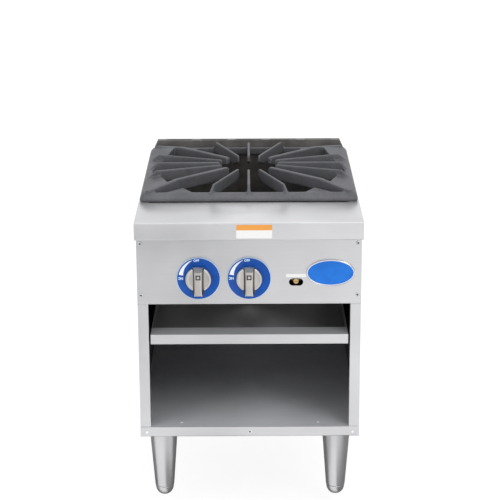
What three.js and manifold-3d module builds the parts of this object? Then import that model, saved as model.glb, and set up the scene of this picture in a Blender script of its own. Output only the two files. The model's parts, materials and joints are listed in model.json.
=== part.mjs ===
// A single-burner gas range for stock pots: a stainless cabinet on four adjustable legs, with an open
// storage bay, a pull-out drip tray, two gas cocks and a cast iron grate over a double-ring burner.
// Millimetres. X runs to the right, Y to the back and Z up. The origin is on the floor, in the middle.
import * as THREE from "three";
import { ConvexGeometry } from "three/addons/geometries/ConvexGeometry.js";
import { mergeVertices } from "three/addons/utils/BufferGeometryUtils.js";
import Module from "manifold-3d";

const wasm = await Module();
wasm.setup();

// ---- Driving dimensions --------------------------------------------------------------------------
const width = 457; // over the side panels
const depth = 630; // front rail to the end of the gas inlet
const cabinetDepth = 607; // front rail to the back of the cabinet
const railOverhang = 54; // front rail to the control panel
const ledgeDepth = 156; // front rail to the grate
const grateDepth = 431;
const grateWidth = 452;
const legHeight = 162; // floor to the underside of the cabinet
const baseLip = 21; // height of the base shelf's front lip
const bayHeight = 271; // base shelf to the underside of the control panel
const panelHeight = 152;
const railHeight = 36;
const frameHeight = 17; // height of the grate's outer frame
const potHeight = 32; // the deck to the top of the grate's ribs
const stileWidth = 22; // front flange of each side panel
const sheet = 1.2; // thickness of the stainless sheet
const gap = 0.3; // left between faces that touch
const knobSpacing = 103;
const knobDrop = 96; // top of the control panel to the knobs' axis

// ---- Positions that follow from them -------------------------------------------------------------
const half = width / 2;
const labelThickness = 0.3;
const labelGap = 0.05;
const inner = half - sheet - gap; // half the width that is free between the side panels
const railFront = -depth / 2;
const panelFront = railFront + railOverhang;
const panelBack = panelFront + sheet;
const stileFront = panelBack + gap;
const grateFront = railFront + ledgeDepth;
const grateBack = grateFront + grateDepth;
const cabinetBack = railFront + cabinetDepth;
const inletEnd = depth / 2 + labelThickness + labelGap; // as far behind as the rail's label is in front
const baseTop = legHeight + baseLip;
const bayTop = baseTop + bayHeight;
const panelTop = bayTop + panelHeight;
const deck = panelTop + railHeight;
const potLevel = deck + potHeight;
const stileInner = half - stileWidth;
const knobZ = panelTop - knobDrop;
const knobX = { left: -knobSpacing, right: 0 };
const burnerY = (grateFront + grateBack) / 2;

// ---- Finishes ------------------------------------------------------------------------------------
function finish(color, roughness, metalness) {
  return new THREE.MeshStandardMaterial({ color, roughness, metalness });
}
const stainless = finish("#c9c8c8", 0.32, 1);
const darkSteel = finish("#5b5955", 0.5, 1);
const castIron = finish("#55565a", 0.75, 0.4);
const blackIron = finish("#38383a", 0.7, 0.5);
const brass = finish("#b8954a", 0.35, 1);
const satinChrome = finish("#d6d2cc", 0.28, 1);
const tubeAluminium = finish("#b9bcbf", 0.4, 1);
const blueEnamel = finish("#0a5aa8", 0.3, 0);
const labelPaper = finish("#f2f0ec", 0.7, 0);

// ---- Shape helpers -------------------------------------------------------------------------------

// A box between two corners, each range given as [low, high].
function box([x0, x1], [y0, y1], [z0, z1]) {
  const centre = [(x0 + x1) / 2, (y0 + y1) / 2, (z0 + z1) / 2];
  return new THREE.BoxGeometry(x1 - x0, y1 - y0, z1 - z0).translate(...centre);
}

// Turns a shape that was made along Y to lie along X, Y or Z.
function along(axis, geometry) {
  if (axis === "x") return geometry.rotateZ(-Math.PI / 2);
  if (axis === "z") return geometry.rotateX(Math.PI / 2);
  return geometry;
}

// A round bar along an axis from low to high; centre gives its place on the other two axes, in order.
function rod(axis, radius, [low, high], centre, sides = 18) {
  const geometry = along(axis, new THREE.CylinderGeometry(radius, radius, high - low, sides));
  return moveTo(axis, geometry, (low + high) / 2, centre);
}

function moveTo(axis, geometry, station, [a, b]) {
  if (axis === "x") return geometry.translate(station, a, b);
  if (axis === "y") return geometry.translate(a, station, b);
  return geometry.translate(a, b, station);
}

// A solid of revolution about Z. The profile is a list of [radius, z] that runs from the bottom up;
// a ring's profile closes on itself.
function turned(profile, sides = 32) {
  const points = profile.map(([radius, z]) => new THREE.Vector2(radius, z));
  return new THREE.LatheGeometry(points, sides).rotateX(Math.PI / 2);
}

// The same, with its axis turned to point out of the front of the range, towards -Y.
function turnedForward(profile, sides = 32) {
  return turned(profile, sides).rotateX(Math.PI / 2);
}

// A flat outline of [u, v] points, made thick.
function plate(outline, thickness) {
  const shape = new THREE.Shape(outline.map(([u, v]) => new THREE.Vector2(u, v)));
  return new THREE.ExtrudeGeometry(shape, { depth: thickness, bevelEnabled: false });
}

// A [y, z] outline swept along X between two stations.
function sweptAlongX(outline, [x0, x1]) {
  return plate(outline, x1 - x0).rotateX(Math.PI / 2).rotateZ(Math.PI / 2).translate(x0, 0, 0);
}

// A round tube along a smooth curve through the points; a bore makes it hollow.
function tube(points, radius, bore, steps, sides = 12) {
  const path = new THREE.CatmullRomCurve3(points.map((p) => new THREE.Vector3(...p)), false, "chordal");
  const circle = (r) => arc([0, 0], r, 0, 360, sides).slice(1).map(([u, v]) => new THREE.Vector2(u, v));
  const shape = new THREE.Shape(circle(radius));
  if (bore) shape.holes.push(new THREE.Path(circle(bore).reverse()));
  return new THREE.ExtrudeGeometry(shape, { steps, extrudePath: path, bevelEnabled: false });
}

// Points on an arc about a centre, from one angle to another in degrees.
function arc([u, v], radius, from, to, steps = 4) {
  return Array.from({ length: steps + 1 }, (_, i) => {
    const angle = THREE.MathUtils.degToRad(from + ((to - from) * i) / steps);
    return [u + radius * Math.cos(angle), v + radius * Math.sin(angle)];
  });
}

function solid(geometry) {
  const bare = geometry.clone();
  for (const name of Object.keys(bare.attributes)) if (name !== "position") bare.deleteAttribute(name);
  const merged = mergeVertices(bare, 1e-3);
  const mesh = { numProp: 3, vertProperties: merged.attributes.position.array };
  return new wasm.Manifold(new wasm.Mesh({ ...mesh, triVerts: new Uint32Array(merged.index.array) }));
}

function geometryOf(manifold) {
  const mesh = manifold.getMesh();
  const geometry = new THREE.BufferGeometry();
  geometry.setAttribute("position", new THREE.BufferAttribute(mesh.vertProperties, 3));
  geometry.setIndex(new THREE.BufferAttribute(mesh.triVerts, 1));
  geometry.computeVertexNormals();
  return geometry;
}

const trim = (shape, tool) => geometryOf(solid(shape).intersect(solid(tool)));
const join = (...shapes) => geometryOf(shapes.map(solid).reduce((a, b) => a.add(b)));
const cut = (shape, ...tools) => geometryOf(tools.map(solid).reduce((a, b) => a.subtract(b), solid(shape)));

// ---- The assembly --------------------------------------------------------------------------------
const range = new THREE.Group();

function add(name, geometry, material) {
  const mesh = new THREE.Mesh(geometry, material);
  mesh.name = name;
  range.add(mesh);
  return mesh;
}

// Adds a piece on the right and its mirror image on the left.
function addPair(name, geometry, material) {
  add(`${name}_right`, geometry, material);
  add(`${name}_left`, geometry, material).scale.x = -1;
}

// ---- Cabinet -------------------------------------------------------------------------------------
const screwX = half - 8;
const screwRows = [panelTop - 22, bayTop + 20];
const screwHole = 2.3;

function addSidePanels() {
  const wall = [half - sheet, half];
  const hemDepth = 12;
  const shelfWidth = 22; // the grate stands on this flange
  const behindLedge = [grateFront + gap, cabinetBack];
  const panel = join(
    box(wall, [stileFront, cabinetBack], [legHeight, panelTop - gap]),
    box(wall, behindLedge, [legHeight, deck - gap]),
    box([stileInner, half], [stileFront, stileFront + sheet], [legHeight, panelTop - gap]),
    box([stileInner, stileInner + sheet], [stileFront, stileFront + hemDepth], [legHeight, panelTop - gap]),
    box([half - shelfWidth, half], behindLedge, [deck - gap - sheet, deck - gap]),
    box([half - 12, half], [cabinetBack - sheet, cabinetBack], [legHeight, deck - gap]),
    box([half - 10, half], [stileFront, cabinetBack], [legHeight, legHeight + sheet]),
  );
  const holes = screwRows.map((z) => rod("y", screwHole, [panelFront, stileFront + 5], [screwX, z], 12));
  addPair("side_panel", cut(panel, ...holes), stainless);
}

function addBaseShelf() {
  const hemEnd = stileFront + 14;
  const free = stileInner - gap;
  const skirtLow = legHeight + sheet + gap;
  const back = cabinetBack - sheet - gap;
  const shelf = join(
    box([-half, half], [panelFront, panelBack], [legHeight, baseTop]),
    box([-free, free], [panelFront, hemEnd + sheet], [baseTop - sheet, baseTop]),
    box([-free, free], [panelFront, panelFront + 12], [legHeight, legHeight + sheet]),
    box([-inner, inner], [hemEnd, back], [baseTop - sheet, baseTop]),
    box([-inner, -inner + sheet], [hemEnd, back], [skirtLow, baseTop]),
    box([inner - sheet, inner], [hemEnd, back], [skirtLow, baseTop]),
    box([-inner, inner], [back - sheet, back], [skirtLow, baseTop]),
  );
  const drainHole = rod("y", 2, [panelFront - 1, panelBack + 1], [0, legHeight + 10.5], 12);
  add("base_shelf", cut(shelf, drainHole), stainless);
}

function addBackPanel() {
  const low = baseTop + gap;
  const face = [cabinetBack - 2 * sheet - gap, cabinetBack - sheet - gap];
  const panel = box([-inner, inner], face, [low, deck - 2 * gap - sheet]);
  const inlet = rod("y", 16, [face[0] - 1, face[1] + 1], [supplyX, manifoldZ]);
  add("back_panel", cut(panel, inlet), stainless);
}

const slotX = 95.5;
const slotZ = knobZ - 9;
const slotLength = 29;
const slotHeight = 15.5;

function addControlPanel() {
  const free = stileInner - gap;
  const flange = [panelFront, panelFront + 14];
  const top = panelTop - gap;
  const through = [panelFront - 1, panelBack + 1];
  const slotEnd = (slotLength - slotHeight) / 2;
  const sheetMetal = join(
    box([-half, half], [panelFront, panelBack], [bayTop, top]),
    box([-free, free], flange, [top - sheet, top]),
    box([-free, free], flange, [bayTop, bayTop + sheet]),
  );
  const holes = Object.values(knobX).map((x) => rod("y", 7, through, [x, knobZ]));
  for (const x of [-screwX, screwX])
    for (const z of screwRows) holes.push(rod("y", screwHole, through, [x, z], 12));
  const slot = join(
    box([slotX - slotEnd, slotX + slotEnd], through, [slotZ - slotHeight / 2, slotZ + slotHeight / 2]),
    rod("y", slotHeight / 2, through, [slotX - slotEnd, slotZ]),
    rod("y", slotHeight / 2, through, [slotX + slotEnd, slotZ]),
  );
  add("control_panel", cut(sheetMetal, slot, ...holes), stainless);
}

// The landing ledge: a folded channel with rounded front bends, closed at both ends.
function addFrontRail() {
  const bend = 3;
  const outline = (inset) => {
    const front = railFront + inset;
    const top = deck - inset;
    const low = panelTop + inset;
    const r = bend - inset;
    return [
      ...arc([front + bend - inset, top - r], r, 180, 90),
      [grateFront - inset, top],
      [grateFront - inset, low],
      ...arc([front + bend - inset, low + r], r, 270, 180),
    ].reverse();
  };
  const outer = sweptAlongX(outline(0), [-half, half]);
  const hollow = sweptAlongX(outline(sheet), [-half + sheet, half - sheet]);
  const mouthDepth = [panelFront + 14, grateFront - sheet];
  const mouth = box([-half + 14, half - 14], mouthDepth, [panelTop - 1, panelTop + 5]);
  add("front_rail", cut(outer, hollow, mouth), stainless);
}

// The low flue riser behind the grate: an upright duct with sloping ends and a slotted top.
function addFlueRiser() {
  const face = [grateBack + 3, cabinetBack - 2];
  const top = potLevel - 2;
  const outline = (inset) => [
    [-219 + inset, deck],
    [219 - inset, deck],
    [219 - inset, deck + 10],
    [210 - inset, top - inset],
    [-210 + inset, top - inset],
    [-219 + inset, deck + 10],
  ];
  const upright = (inset, [y0, y1]) =>
    plate(outline(inset), y1 - y0).rotateX(Math.PI / 2).translate(0, y1, 0);
  const hollow = upright(sheet, [face[0] + sheet, face[1] - sheet]);
  const mouth = box([-205, 205], [face[0] + sheet, face[1] - sheet], [deck - 1, deck + 5]);
  const slots = [-2, -1, 0, 1, 2].map((i) =>
    box([80 * i - 30, 80 * i + 30], [face[0] + 4, face[1] - 4], [top - 5, top + 1]),
  );
  add("flue_riser", cut(upright(0, face), hollow, mouth, ...slots), darkSteel);
}

// ---- Burner box ----------------------------------------------------------------------------------
const shieldX = 192;
const boxFront = grateFront + 6;
const boxBack = grateBack - 3;
const shieldLow = bayTop - 46;
const shieldTop = deck - gap - sheet - gap;

function addHeatShields() {
  const side = join(
    box([shieldX, shieldX + 1], [boxFront, boxBack], [shieldLow, shieldTop]),
    box([shieldX, inner], [boxFront, boxBack], [shieldTop - 1, shieldTop]),
  );
  addPair("heat_shield", side, darkSteel);
  const free = shieldX - gap;
  const rear = box([-free, free], [boxBack - 1, boxBack], [shieldLow, shieldTop]);
  const passage = rod("y", 16, [boxBack - 2, boxBack + 1], [supplyX, manifoldZ]);
  add("rear_heat_shield", cut(rear, passage), darkSteel);
}

function addFirewall() {
  const face = [boxFront, boxFront + 1];
  const free = shieldX - gap;
  const through = [face[0] - 1, face[1] + 1];
  const wall = box([-free, free], face, [bayTop, shieldTop]);
  const holes = Object.values(knobX).map((x) => rod("y", mixerRadius + 3, through, [x, knobZ]));
  holes.push(rod("y", 16, through, [supplyX, manifoldZ]), rod("y", 7, through, [slotX, pilotLineZ]));
  add("firewall", cut(wall, ...holes), darkSteel);
}

// ---- Burners -------------------------------------------------------------------------------------
const ringLow = deck - 68;
const ringHeight = 30;
const ringSpan = 107; // mean radius of the outer ring
const mixerRadius = 16;
const mixerBore = 11;
const bellRadius = 25;
const shutterFront = panelFront + 77;
const shutterThickness = 2;
const mixerMouth = shutterFront + shutterThickness + gap;

// One cast burner: a hollow ring with its mixing tube, which runs back from the bell mouth and rises
// into the ring. reach is how far behind the burner's centre the tube ends.
function castBurner([ringInner, ringOuter], x, reach) {
  const wall = 4;
  const top = ringLow + ringHeight;
  const ring = (w) => {
    const a = ringInner + w;
    const b = ringOuter - w;
    const low = ringLow + w;
    const high = top - w;
    const slope = 7 - w / 2;
    const shoulder = high - slope;
    return [[a, low], [b, low], [b, shoulder], [b - slope, high], [a + slope, high], [a, shoulder], [a, low]];
  };
  const end = burnerY + reach;
  const route = (from, lift) => [
    [x, from, knobZ],
    [x, end - 110, knobZ],
    [x, end - 45, knobZ + 22],
    [x, end, ringLow + lift],
  ];
  const bell = new THREE.CylinderGeometry(mixerRadius, bellRadius, 14, 16);
  const flare = new THREE.CylinderGeometry(mixerBore, bellRadius - 3, 13, 16);
  const casting = join(
    turned(ring(0), 30).translate(0, burnerY, 0),
    tube(route(mixerMouth + 10, 3), mixerRadius, 0, 8),
    bell.translate(x, mixerMouth + 7, knobZ),
  );
  return cut(
    casting,
    turned(ring(wall), 30).translate(0, burnerY, 0),
    tube(route(mixerMouth + 9, 10), mixerBore, 0, 8),
    flare.translate(x, mixerMouth + 6, knobZ),
  );
}

function addBurners() {
  add("outer_burner", castBurner([92, 122], knobX.left, -29), castIron);
  add("inner_burner", castBurner([30, 58], knobX.right, -44), castIron);
}

// Three angle irons carry the two rings from side to side.
function addBurnerSupports() {
  const span = [-shieldX + gap, shieldX - gap];
  const top = ringLow - gap;
  const stations = { front: burnerY - ringSpan, middle: burnerY, rear: burnerY + ringSpan };
  for (const [place, y] of Object.entries(stations)) {
    const shelf = box(span, [y - 9, y + 9], [top - 2.5, top]);
    const web = box(span, [y + 6.5, y + 9], [top - 16, top]);
    add(`burner_support_${place}`, join(shelf, web), blackIron);
  }
}

// ---- Gas train -----------------------------------------------------------------------------------
const manifoldY = panelFront + 48;
const manifoldZ = knobZ - 34;
const pipeRadius = 13.35;
const pipeWall = 2.9;
const supplyX = 165;
const pilotLineZ = slotZ + 12;
const saddle = manifoldZ + pipeRadius + gap;
const bend = 26;

function hollowPipe(axis, [low, high], centre) {
  const bore = pipeRadius - pipeWall;
  const ring = [[bore, low], [pipeRadius, low], [pipeRadius, high], [bore, high], [bore, low]];
  const pipe = turned(ring, 18).rotateX(-Math.PI / 2);
  return moveTo(axis, along(axis, pipe), 0, centre);
}

function addPipes() {
  const left = knobX.left - 32;
  const right = supplyX - bend;
  add("manifold_pipe", hollowPipe("x", [left, right], [manifoldY, manifoldZ]), blackIron);
  const capWall = 4;
  const cap = cut(
    rod("x", pipeRadius + capWall, [left - 6, left + 16], [manifoldY, manifoldZ]),
    rod("x", pipeRadius + gap, [left - gap, left + 17], [manifoldY, manifoldZ]),
  );
  add("manifold_cap", cap, blackIron);
  const lead = 6; // the elbow is straight for this far at each end
  const quarter = [
    [right + gap, manifoldY],
    [right + lead / 2, manifoldY],
    ...arc([right + lead, manifoldY + bend - lead], bend - lead, -90, 0, 8),
    [supplyX, manifoldY + bend - lead / 2],
    [supplyX, manifoldY + bend],
  ];
  const elbow = tube(quarter.map(([x, y]) => [x, y, manifoldZ]), pipeRadius + 2, pipeRadius - pipeWall, 10);
  add("supply_elbow", elbow, blackIron);
  const supply = [manifoldY + bend + gap, inletEnd];
  add("supply_pipe", hollowPipe("y", supply, [supplyX, manifoldZ]), blackIron);
}

function addCock(side) {
  const x = knobX[side];
  const bonnet = [panelFront + 12, panelFront + 24];
  const body = [panelFront + 22, panelFront + 58];
  const valve = join(
    rod("y", 13, body, [x, knobZ]),
    rod("y", 10, bonnet, [x, knobZ], 6),
    rod("z", 8, [saddle, knobZ], [x, manifoldY]),
    rod("z", 11, [saddle, saddle + 6], [x, manifoldY], 6),
  );
  add(`gas_valve_${side}`, valve, brass);
  const hood = [body[1] + gap, body[1] + 14];
  const nozzle = rod("y", 5, [hood[0], shutterFront + 1], [x, knobZ], 16);
  add(`orifice_${side}`, join(rod("y", 9, hood, [x, knobZ], 6), nozzle), brass);
  add(`valve_stem_${side}`, rod("y", 4, [stemTip, bonnet[0] - gap], [x, knobZ], 16), brass);
}

// A disc with four fan openings that turns on the mixing tube's mouth.
function addAirShutter(side) {
  const thick = [shutterFront, shutterFront + shutterThickness];
  const through = [thick[0] - 1, thick[1] + 1];
  const fan = (i) => {
    const middle = 45 + 90 * i;
    const outerEdge = arc([0, 0], 20, middle - 27, middle + 27, 5);
    const innerEdge = arc([0, 0], 11, middle + 27, middle - 27, 3);
    const opening = plate([...outerEdge, ...innerEdge], through[1] - through[0]);
    return opening.rotateX(Math.PI / 2).translate(0, through[1], 0);
  };
  const tools = [0, 1, 2, 3].map((i) => fan(i).translate(knobX[side], 0, knobZ));
  tools.push(rod("y", 5.6, through, [knobX[side], knobZ], 16));
  add(`air_shutter_${side}`, cut(rod("y", bellRadius, thick, [knobX[side], knobZ], 24), ...tools), darkSteel);
}

function addPilot() {
  const body = [panelFront + 5, panelFront + 60];
  const valve = join(
    rod("y", 5.5, body, [slotX, slotZ], 16),
    rod("y", 7.5, [panelFront + 18, panelFront + 34], [slotX, slotZ], 6),
    rod("z", 5, [saddle - 0.1, slotZ], [slotX, manifoldY], 16),
    rod("z", 6.2, [slotZ - 1, slotZ + 1], [slotX, manifoldY], 16),
  );
  const driverSlot = box([slotX - 6, slotX + 6], [body[0] - 1, body[0] + 1.5], [slotZ - 0.8, slotZ + 0.8]);
  add("pilot_valve", cut(valve, driverSlot), brass);

  const headX = 40;
  const headY = burnerY - 70;
  const headLow = ringLow - 15;
  const line = [
    [slotX, body[1] + 2 * gap, slotZ],
    [slotX, body[1] + 10, slotZ],
    [slotX, body[1] + 26, slotZ + 4],
    [slotX, boxFront, pilotLineZ],
    [slotX - 8, boxFront + 60, pilotLineZ + 8],
    [headX + 12, headY - 24, headLow - 25],
    [headX, headY, headLow - 14],
    [headX, headY, headLow - 2 * gap],
  ];
  add("pilot_tube", tube(line, 2.8, 0, 22, 8), tubeAluminium);
  const armWidth = [headX - 6, headX + 6];
  const armEnd = burnerY - ringSpan + 9 + gap; // the rear face of the front support
  const head = join(
    rod("z", 5, [headLow, ringLow + 27], [headX, headY], 16),
    rod("z", 7, [ringLow + 20, ringLow + 31], [headX, headY], 16),
    box(armWidth, [armEnd, headY + 6], [headLow, headLow + 2]),
    box(armWidth, [armEnd, armEnd + 2], [headLow, ringLow - 2]),
  );
  add("pilot_burner", head, darkSteel);
}

// ---- Drip tray -----------------------------------------------------------------------------------
const trayTop = baseTop + 205;
const trayHeight = 21;
const trayHalf = 203;
const trayLow = trayTop - trayHeight;

function addDripTray() {
  const back = panelFront + 496;
  const ledge = 44;
  const wallX = trayHalf - sheet;
  const basinFront = panelFront + ledge;
  const blank = box([-trayHalf, trayHalf], [panelFront, back], [trayLow, trayTop]);
  const basin = box([-wallX, wallX], [basinFront, back - sheet], [trayLow + sheet, trayTop + 1]);
  const grip = box([-wallX, wallX], [panelBack, basinFront - sheet], [trayLow - 1, trayTop - sheet]);
  add("drip_tray", cut(blank, basin, grip), stainless);
  const seat = trayLow - gap;
  const length = [stileFront + 16, back + 10];
  const runner = join(
    box([inner - sheet, inner], length, [seat - 12, trayTop + 8]),
    box([inner - 34, inner], length, [seat - sheet, seat]),
    box([inner - 34, inner], [back + 3, back + 3 + sheet], [seat - sheet, trayTop - 4]),
  );
  addPair("tray_runner", runner, darkSteel);
}

// ---- Grate ---------------------------------------------------------------------------------------

const ribEnd = 62; // the ribs stop this far from the centre, which leaves the burner open

// One rib, cast standing on edge: it climbs from the frame to pot level and runs in to the burner.
// outer and innerEnd are distances from the grate's centre, angle is its direction in degrees from +X.
// The top starts at endTop and has climbed to pot level after the length of the ramp.
function rib(angle, outer, innerEnd, thickness, ramp, endTop = deck + frameHeight) {
  const low = potLevel - 25;
  const profile = [
    [innerEnd, potLevel - 16],
    [innerEnd + 22, low],
    [outer, low],
    [outer, endTop],
    [outer - ramp, potLevel],
    [innerEnd + 3, potLevel],
    [innerEnd, potLevel - 4],
  ];
  const upright = plate(profile, thickness).rotateX(Math.PI / 2).translate(0, thickness / 2, 0);
  return upright.rotateZ(THREE.MathUtils.degToRad(angle)).translate(0, burnerY, 0);
}

// The hull of a list of [x, y, z] corners.
function hull(corners) {
  return new ConvexGeometry(corners.map((corner) => new THREE.Vector3(...corner)));
}

function addGrate() {
  const corners = [[1, 1], [-1, 1], [-1, -1], [1, -1]];
  const halfX = grateWidth / 2;
  const halfY = grateDepth / 2;
  const bar = 19;
  const edge = 7.5; // the frame's upright edge, below its bevel
  const bevelEnds = 15.5; // how far the bevel runs in at the front and back
  const bevelSides = 6;
  const top = deck + frameHeight;
  const level = (x, y, r, z) =>
    corners.flatMap(([sx, sy], quadrant) => {
      const bend = arc([sx * (x - r), sy * (y - r)], r, 90 * quadrant, 90 * quadrant + 90, 3);
      return bend.map(([u, v]) => [u, burnerY + v, z]);
    });
  const slab = hull([
    ...level(halfX, halfY, 8, deck),
    ...level(halfX, halfY, 8, deck + edge),
    ...level(halfX - bevelSides, halfY - bevelEnds, 5, top),
  ]);
  const innerX = halfX - bar;
  const innerY = halfY - bar;
  const well = box([-innerX, innerX], [burnerY - innerY, burnerY + innerY], [deck - 1, potLevel]);

  const castings = [];
  for (const [sx, sy] of corners) {
    const angle = THREE.MathUtils.radToDeg(Math.atan2(sy * halfY, sx * halfX));
    castings.push(rib(angle, Math.hypot(innerX, innerY) + 7, ribEnd, 12, 85, top + 4));
    const web = (points) => hull(points.map(([u, v, z]) => [sx * u, burnerY + sy * v, z]));
    const low = deck + edge;
    const endWeb = [[180, innerY + 3], [113, innerY + 3], [138, innerY - 40]];
    castings.push(web([...endWeb.map((p) => [...p, low]), ...endWeb.map((p) => [...p, top - 1])]));
    const sideWeb = [[innerX + 3, innerY - 5], [innerX + 3, 40], [194, 50], [170, 160]];
    const sideTops = [top, top, top + 1, potLevel - 4];
    castings.push(web([...sideWeb.map((p) => [...p, low]), ...sideWeb.map((p, i) => [...p, sideTops[i]])]));
  }
  const spread = 76; // the outer ribs meet the frame this far from its middle
  for (const turn of [0, 90, 180, 270])
    for (const offset of [-spread, 0, spread]) {
      const reach = turn % 180 ? innerY : innerX;
      const lean = Math.atan2(offset, reach);
      const outer = (reach + bar / 2) / Math.cos(lean);
      castings.push(rib(turn + THREE.MathUtils.radToDeg(lean), outer, ribEnd, 7.5, 18));
    }
  add("top_grate", join(cut(slab, well), ...castings), castIron);
}

// ---- Knobs ---------------------------------------------------------------------------------------
const bezelFace = gap + 3;
const stemTip = panelFront - 16;

// Profiles are [radius, distance in front of the control panel].
function addKnob(side) {
  const x = knobX[side];
  const rim = 45;
  const eye = 8;
  const dish = 1.8;
  const bezel = [
    [eye, gap],
    [rim, gap],
    [rim, bezelFace - 0.8],
    [rim - 1.4, bezelFace],
    [rim - 4, bezelFace - 0.6],
    [rim - 16, dish],
    [eye, dish],
    [eye, gap],
  ];
  add(`bezel_${side}`, turnedForward(bezel, 40).translate(x, panelFront, knobZ), blueEnamel);

  const skirt = 26.5;
  const front = 13;
  const back = bezelFace + 0.7;
  const base = [
    [0, back],
    [skirt, back],
    [skirt, front - 3],
    [skirt - 2, front - 0.8],
    [skirt - 5, front],
    [0, front],
  ];
  const grip = { front: 29, half: 7.5, round: 3, below: 31, above: 26.4 };
  const outline = [
    ...arc([-grip.half + grip.round, -grip.front + grip.round], grip.round, 180, 270),
    ...arc([grip.half - grip.round, -grip.front + grip.round], grip.round, 270, 360),
    [grip.half + 1, -front + 2],
    [-grip.half - 1, -front + 2],
  ];
  // From the side, the bar hangs past the disc below and slopes back to the disc's edge above.
  const sideView = [
    [-front + 2, -grip.below + 5],
    [-front - 3, -grip.below + 0.6],
    [-grip.front + 2, -grip.below],
    [-grip.front, -grip.below + 2],
    [-grip.front, grip.above - 6],
    [-grip.front + 2.5, grip.above - 3.4],
    [-front + 2, grip.above],
  ];
  const bar = trim(
    plate(outline, grip.below + grip.above).translate(0, 0, -grip.below),
    sweptAlongX(sideView, [-grip.half - 2, grip.half + 2]),
  );
  const bore = rod("y", 4 + gap, [stemTip - panelFront - 1, -back + 1], [0, 0], 16);
  const knob = cut(join(turnedForward(base, 36), bar), bore);
  add(`knob_${side}`, knob.translate(x, panelFront, knobZ), satinChrome);
}

// ---- Legs ----------------------------------------------------------------------------------------
function addLeg(place, x, y) {
  const plateLow = baseTop - sheet - gap - 3;
  const legTop = plateLow - gap;
  const legLow = 21;
  const studRadius = 8;
  const studTop = 58;
  const leg = [[0, legLow], [20.2, legLow], [20.6, legLow + 1], [31, legHeight], [31, legTop], [0, legTop]];
  const bore = rod("z", studRadius + gap, [legLow - 1, studTop + 3], [0, 0], 12);
  add(`leg_${place}`, cut(turned(leg, 24), bore).translate(x, y, 0), stainless);
  const mount = box([x - 40, x + 40], [y - 40, y + 40], [plateLow, plateLow + 3]);
  add(`leg_plate_${place}`, mount, darkSteel);
  const seat = legLow - gap;
  const foot = [
    [0, 0],
    [9, 0],
    [14, 3.5],
    [18, 10],
    [20, seat],
    [studRadius, seat],
    [studRadius, studTop],
    [0, studTop],
  ];
  add(`foot_${place}`, turned(foot, 16).translate(x, y, 0), stainless);
}

function addLegs() {
  const sides = { left: -184, right: 184 };
  const rows = { front: panelFront + 73, rear: cabinetBack - 60 };
  for (const [row, y] of Object.entries(rows))
    for (const [side, x] of Object.entries(sides)) addLeg(`${row}_${side}`, x, y);
}

// ---- Badge, labels and screws --------------------------------------------------------------------
function addTrim() {
  const badgeOutline = Array.from({ length: 40 }, (_, i) => {
    const angle = (2 * Math.PI * i) / 40;
    return [49.5 * Math.cos(angle), 28.25 * Math.sin(angle)];
  });
  const badge = plate(badgeOutline, 3).rotateX(Math.PI / 2);
  add("badge_plate", badge.translate(165.5, panelFront - gap, knobZ + 11), blueEnamel);

  const onFace = (y) => [y - labelThickness - labelGap, y - labelGap];
  const railMiddle = (panelTop + deck) / 2;
  add("rail_label", box([-25, 46], onFace(railFront), [railMiddle - 14, railMiddle + 14]), labelPaper);
  const pilotLabel = box([slotX - 20.5, slotX + 20.5], onFace(panelFront), [slotZ + 10.5, slotZ + 17.5]);
  add("pilot_label", pilotLabel, labelPaper);

  const screw = [[0, -7], [2, -7], [2, gap], [4.2, gap], [4, 1.2], [2.6, 2.2], [0, 2.5]];
  const columns = { left: -screwX, right: screwX };
  const rows = { upper: screwRows[0], lower: screwRows[1] };
  for (const [row, z] of Object.entries(rows))
    for (const [side, x] of Object.entries(columns))
      add(`panel_screw_${row}_${side}`, turnedForward(screw, 12).translate(x, panelFront, z), stainless);
}

addSidePanels();
addBaseShelf();
addBackPanel();
addControlPanel();
addFrontRail();
addFlueRiser();
addHeatShields();
addFirewall();
addBurners();
addBurnerSupports();
addPipes();
for (const side of ["left", "right"]) {
  addCock(side);
  addAirShutter(side);
  addKnob(side);
}
addPilot();
addDripTray();
addGrate();
addLegs();
addTrim();

export default range;
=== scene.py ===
# %% [markdown]
# # Dressing a stock pot range
# The range is a low stainless cabinet on four screw legs. It has one double burner under a cast iron grate,
# a landing ledge along the front, two gas knobs, a drip tray and an open bay for pans. Its frame arrives as
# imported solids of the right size. Each solid then gets the edges, bends and finish of the real piece.

# %% Load the frame
import json
import math

import bmesh
import bpy
import numpy as np
from mathutils import Matrix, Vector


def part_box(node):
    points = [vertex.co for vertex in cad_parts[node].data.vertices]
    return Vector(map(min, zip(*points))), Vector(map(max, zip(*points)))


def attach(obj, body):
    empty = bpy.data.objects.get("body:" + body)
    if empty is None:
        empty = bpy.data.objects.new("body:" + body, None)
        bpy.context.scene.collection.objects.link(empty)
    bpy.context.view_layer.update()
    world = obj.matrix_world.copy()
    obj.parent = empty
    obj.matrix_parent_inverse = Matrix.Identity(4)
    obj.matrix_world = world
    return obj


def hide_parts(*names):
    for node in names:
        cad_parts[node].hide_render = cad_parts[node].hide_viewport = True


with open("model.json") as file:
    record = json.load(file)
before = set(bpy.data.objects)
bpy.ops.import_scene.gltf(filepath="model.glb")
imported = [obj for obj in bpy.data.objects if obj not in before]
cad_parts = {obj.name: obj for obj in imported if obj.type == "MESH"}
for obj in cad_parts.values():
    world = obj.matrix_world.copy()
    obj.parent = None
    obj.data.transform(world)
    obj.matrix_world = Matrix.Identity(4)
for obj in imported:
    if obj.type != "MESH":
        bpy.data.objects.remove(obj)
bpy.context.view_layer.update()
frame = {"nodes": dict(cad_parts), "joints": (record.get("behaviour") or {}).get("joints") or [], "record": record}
record = frame["record"]
body_of = {node: body for body, nodes in record["behaviour"]["bodies"].items() for node in nodes}
joints = {joint["name"]: joint for joint in frame["joints"]}


def corners(node):
    """The lowest and highest corner of a node, as arrays."""
    low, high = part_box(node)
    return np.array(low), np.array(high)


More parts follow.
